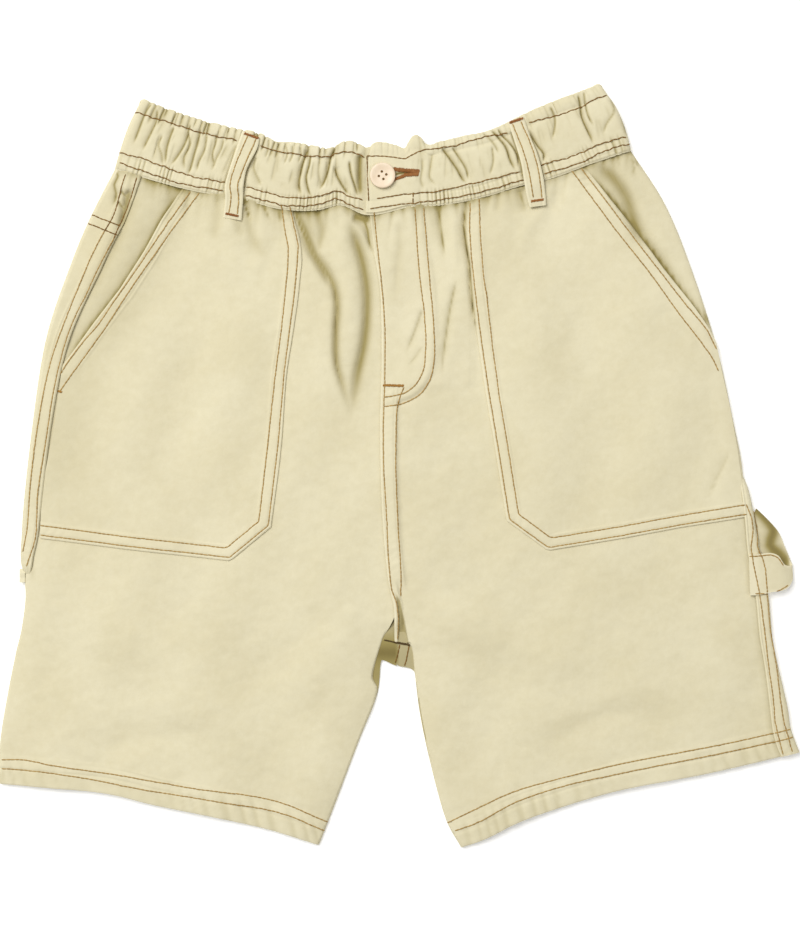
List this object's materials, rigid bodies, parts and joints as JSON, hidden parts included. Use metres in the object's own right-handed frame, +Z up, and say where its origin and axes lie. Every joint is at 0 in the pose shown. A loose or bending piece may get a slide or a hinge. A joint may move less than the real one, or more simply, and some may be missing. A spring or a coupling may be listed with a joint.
{
  "type": "chino shorts",
  "caption": "Pale khaki twill chino shorts with a gathered waist, button tab, patch pockets and a hammer loop, laid flat front up.",
  "frame": {"origin": "middle of the garment's outline, on the surface it lies on", "axes": "+X to the wearer's left, +Y from the hems to the waist, +Z up out of the front"},
  "size_m": [0.5346, 0.5111, 0.0111],
  "materials": {
    "cloth": "matte cotton twill",
    "thread": "matte topstitching thread",
    "button": "satin"
  },
  "bodies": {
    "root": {"front_right": "cloth", "front_left": "cloth", "back_right": "cloth", "back_left": "cloth", "back_yoke_right": "cloth", "back_yoke_left": "cloth", "fly_underlap": "cloth", "patch_pocket_right": "cloth", "patch_pocket_left": "cloth", "waistband_right": "cloth", "waistband_left": "cloth", "waistband_back": "cloth", "belt_loop_right": "cloth", "belt_loop_left": "cloth", "hammer_loop": "cloth", "side_tab_right": "cloth", "button": "button"}
  },
  "joints": []
}
